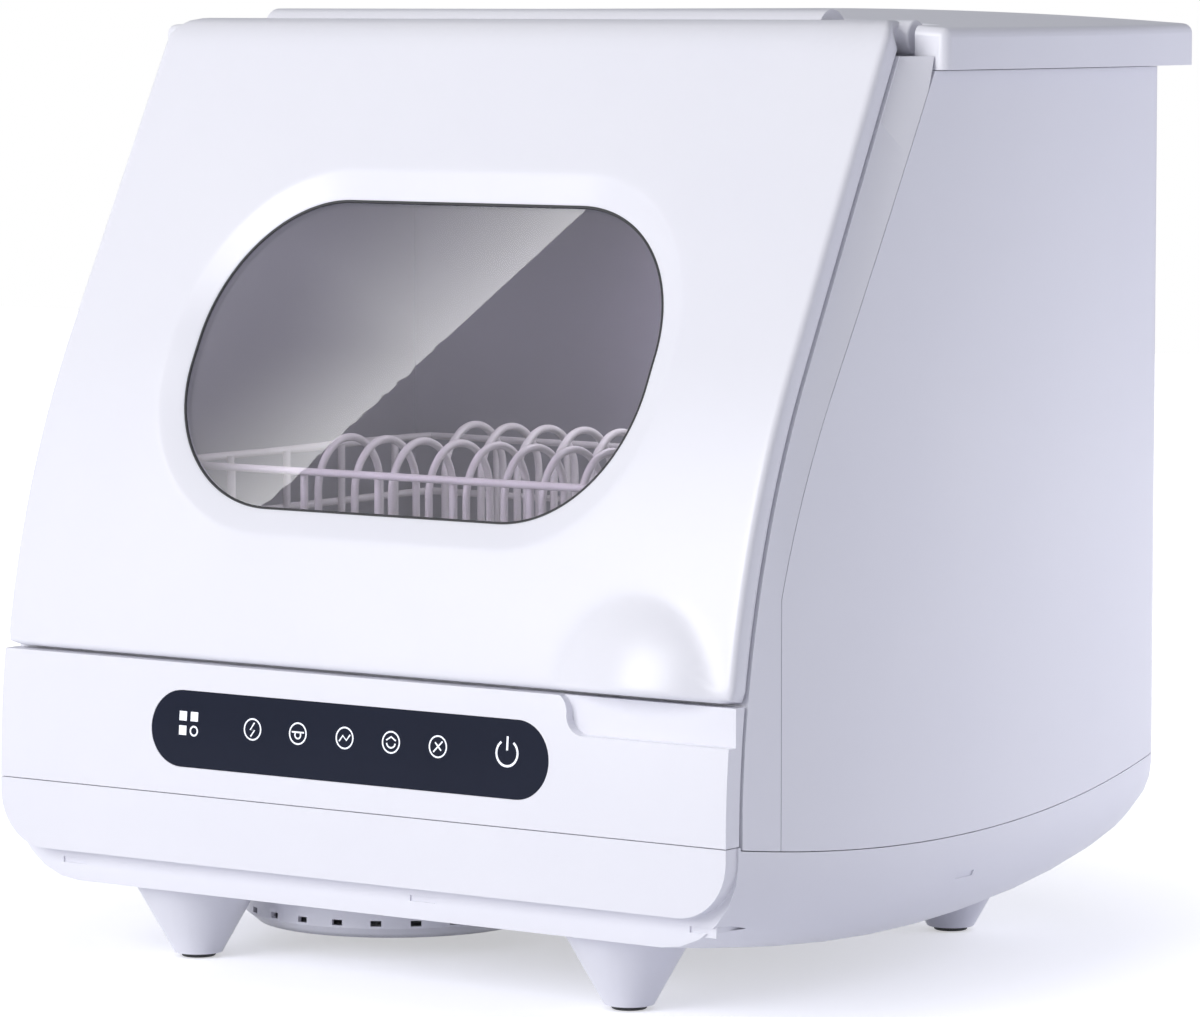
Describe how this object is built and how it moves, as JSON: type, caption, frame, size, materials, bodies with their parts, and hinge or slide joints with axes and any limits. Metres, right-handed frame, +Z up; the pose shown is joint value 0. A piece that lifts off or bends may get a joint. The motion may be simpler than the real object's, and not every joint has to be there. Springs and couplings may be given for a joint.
{
  "type": "countertop dishwasher",
  "caption": "Countertop dishwasher with a lift-up windowed front lid, sliding wire rack, spray arm, pumps, drying fan, built-in tank under a hinged top cover, and cone legs.",
  "frame": {"origin": "centre of the footprint on the table, halfway between the front dome and the cover's rear edge", "axes": "+Z up, +Y to the back wall, +X to the right as seen from the front"},
  "size_m": [0.438, 0.3854, 0.43],
  "materials": {
    "white_shell": "satin white moulded ABS",
    "liner_grey": "light grey polypropylene",
    "tub_steel": "pressed stainless steel",
    "steel": "plain steel",
    "rubber": "black EPDM rubber",
    "smoked_glass": "smoked tempered glass",
    "touch_navy": "dark navy acrylic",
    "white_nylon": "white nylon and nylon-coated wire",
    "board": "green circuit board",
    "black_plastic": "black polypropylene",
    "tank": "milky polypropylene"
  },
  "bodies": {
    "chassis": {"base_tray": "white_shell", "vent_disc": "white_shell", "leg_front_left": "white_shell", "leg_front_right": "white_shell", "leg_rear_left": "white_shell", "leg_rear_right": "white_shell", "foot_pads": "rubber", "side_panel_left": "white_shell", "side_panel_right": "white_shell", "back_panel": "white_shell", "front_frame": "white_shell", "control_fascia": "white_shell", "touch_panel": "touch_navy", "touch_board": "board", "top_deck": "white_shell", "filler_strainer": "liner_grey", "cover_hinge_pins": "steel", "lid_hinge_pins": "steel", "hinge_dampers": "black_plastic", "reed_switch": "black_plastic", "tub": "tub_steel", "tub_gasket": "rubber", "rack_glides": "white_nylon", "heater_ring": "steel", "filter_plate": "tub_steel", "filter_cup": "white_nylon", "sump": "black_plastic", "spray_spindle": "white_nylon", "volute": "black_plastic", "pump_motor": "steel", "drain_pump": "black_plastic", "fan_housing": "black_plastic", "air_duct": "black_plastic", "water_tank": "tank", "inlet_valve": "white_nylon", "inlet_spigot": "white_nylon", "drain_spigot": "white_nylon", "power_inlet": "black_plastic", "main_board": "board", "board_box": "black_plastic", "pump_hoses": "rubber", "case_screws": "steel"},
    "lid": {"lid_shell": "white_shell", "window_bezel": "white_shell", "window_pane": "smoked_glass", "window_gasket": "rubber", "lid_liner": "liner_grey", "lid_magnet": "steel"},
    "rack": {"rack_floor": "white_nylon", "rack_sides": "white_nylon", "rack_front": "white_nylon", "rack_back": "white_nylon", "plate_loops": "white_nylon"},
    "spray": {"spray_arm": "tub_steel"},
    "pump_rotor": {"wash_impeller": "white_nylon"},
    "drain_rotor": {"drain_impeller": "white_nylon"},
    "fan_rotor": {"fan_impeller": "white_nylon"},
    "cover": {"top_cover": "white_shell"}
  },
  "joints": [
    {"name": "lid_hinge", "type": "hinge", "parent": "chassis", "child": "lid", "pos_m": [0, -0.03615, 0.418], "axis": [-1, 0, 0], "range_deg": [0, 90]},
    {"name": "rack_slide", "type": "slide", "parent": "chassis", "child": "rack", "axis": [0, -1, 0], "range_m": [0, 0.2]},
    {"name": "spray_arm_spin", "type": "hinge", "parent": "chassis", "child": "spray", "pos_m": [0, -0.02034, 0.145], "axis": [0, 0, 1], "continuous": true},
    {"name": "wash_pump_spin", "type": "hinge", "parent": "chassis", "child": "pump_rotor", "pos_m": [0.06, -0.02034, 0.076], "axis": [1, 0, 0], "continuous": true},
    {"name": "drain_pump_spin", "type": "hinge", "parent": "chassis", "child": "drain_rotor", "pos_m": [0, 0.03606, 0.074], "axis": [0, 1, 0], "continuous": true},
    {"name": "fan_spin", "type": "hinge", "parent": "chassis", "child": "fan_rotor", "pos_m": [-0.08, -0.04834, 0.048], "axis": [0, 0, 1], "continuous": true},
    {"name": "cover_hinge", "type": "hinge", "parent": "chassis", "child": "cover", "pos_m": [0, 0.17666, 0.4085], "axis": [-1, 0, 0], "range_deg": [0, 75]}
  ],
  "couplings": [
    {"joint": "rack_slide", "follows": "lid_hinge", "m_per_rad": 0.12732}
  ]
}
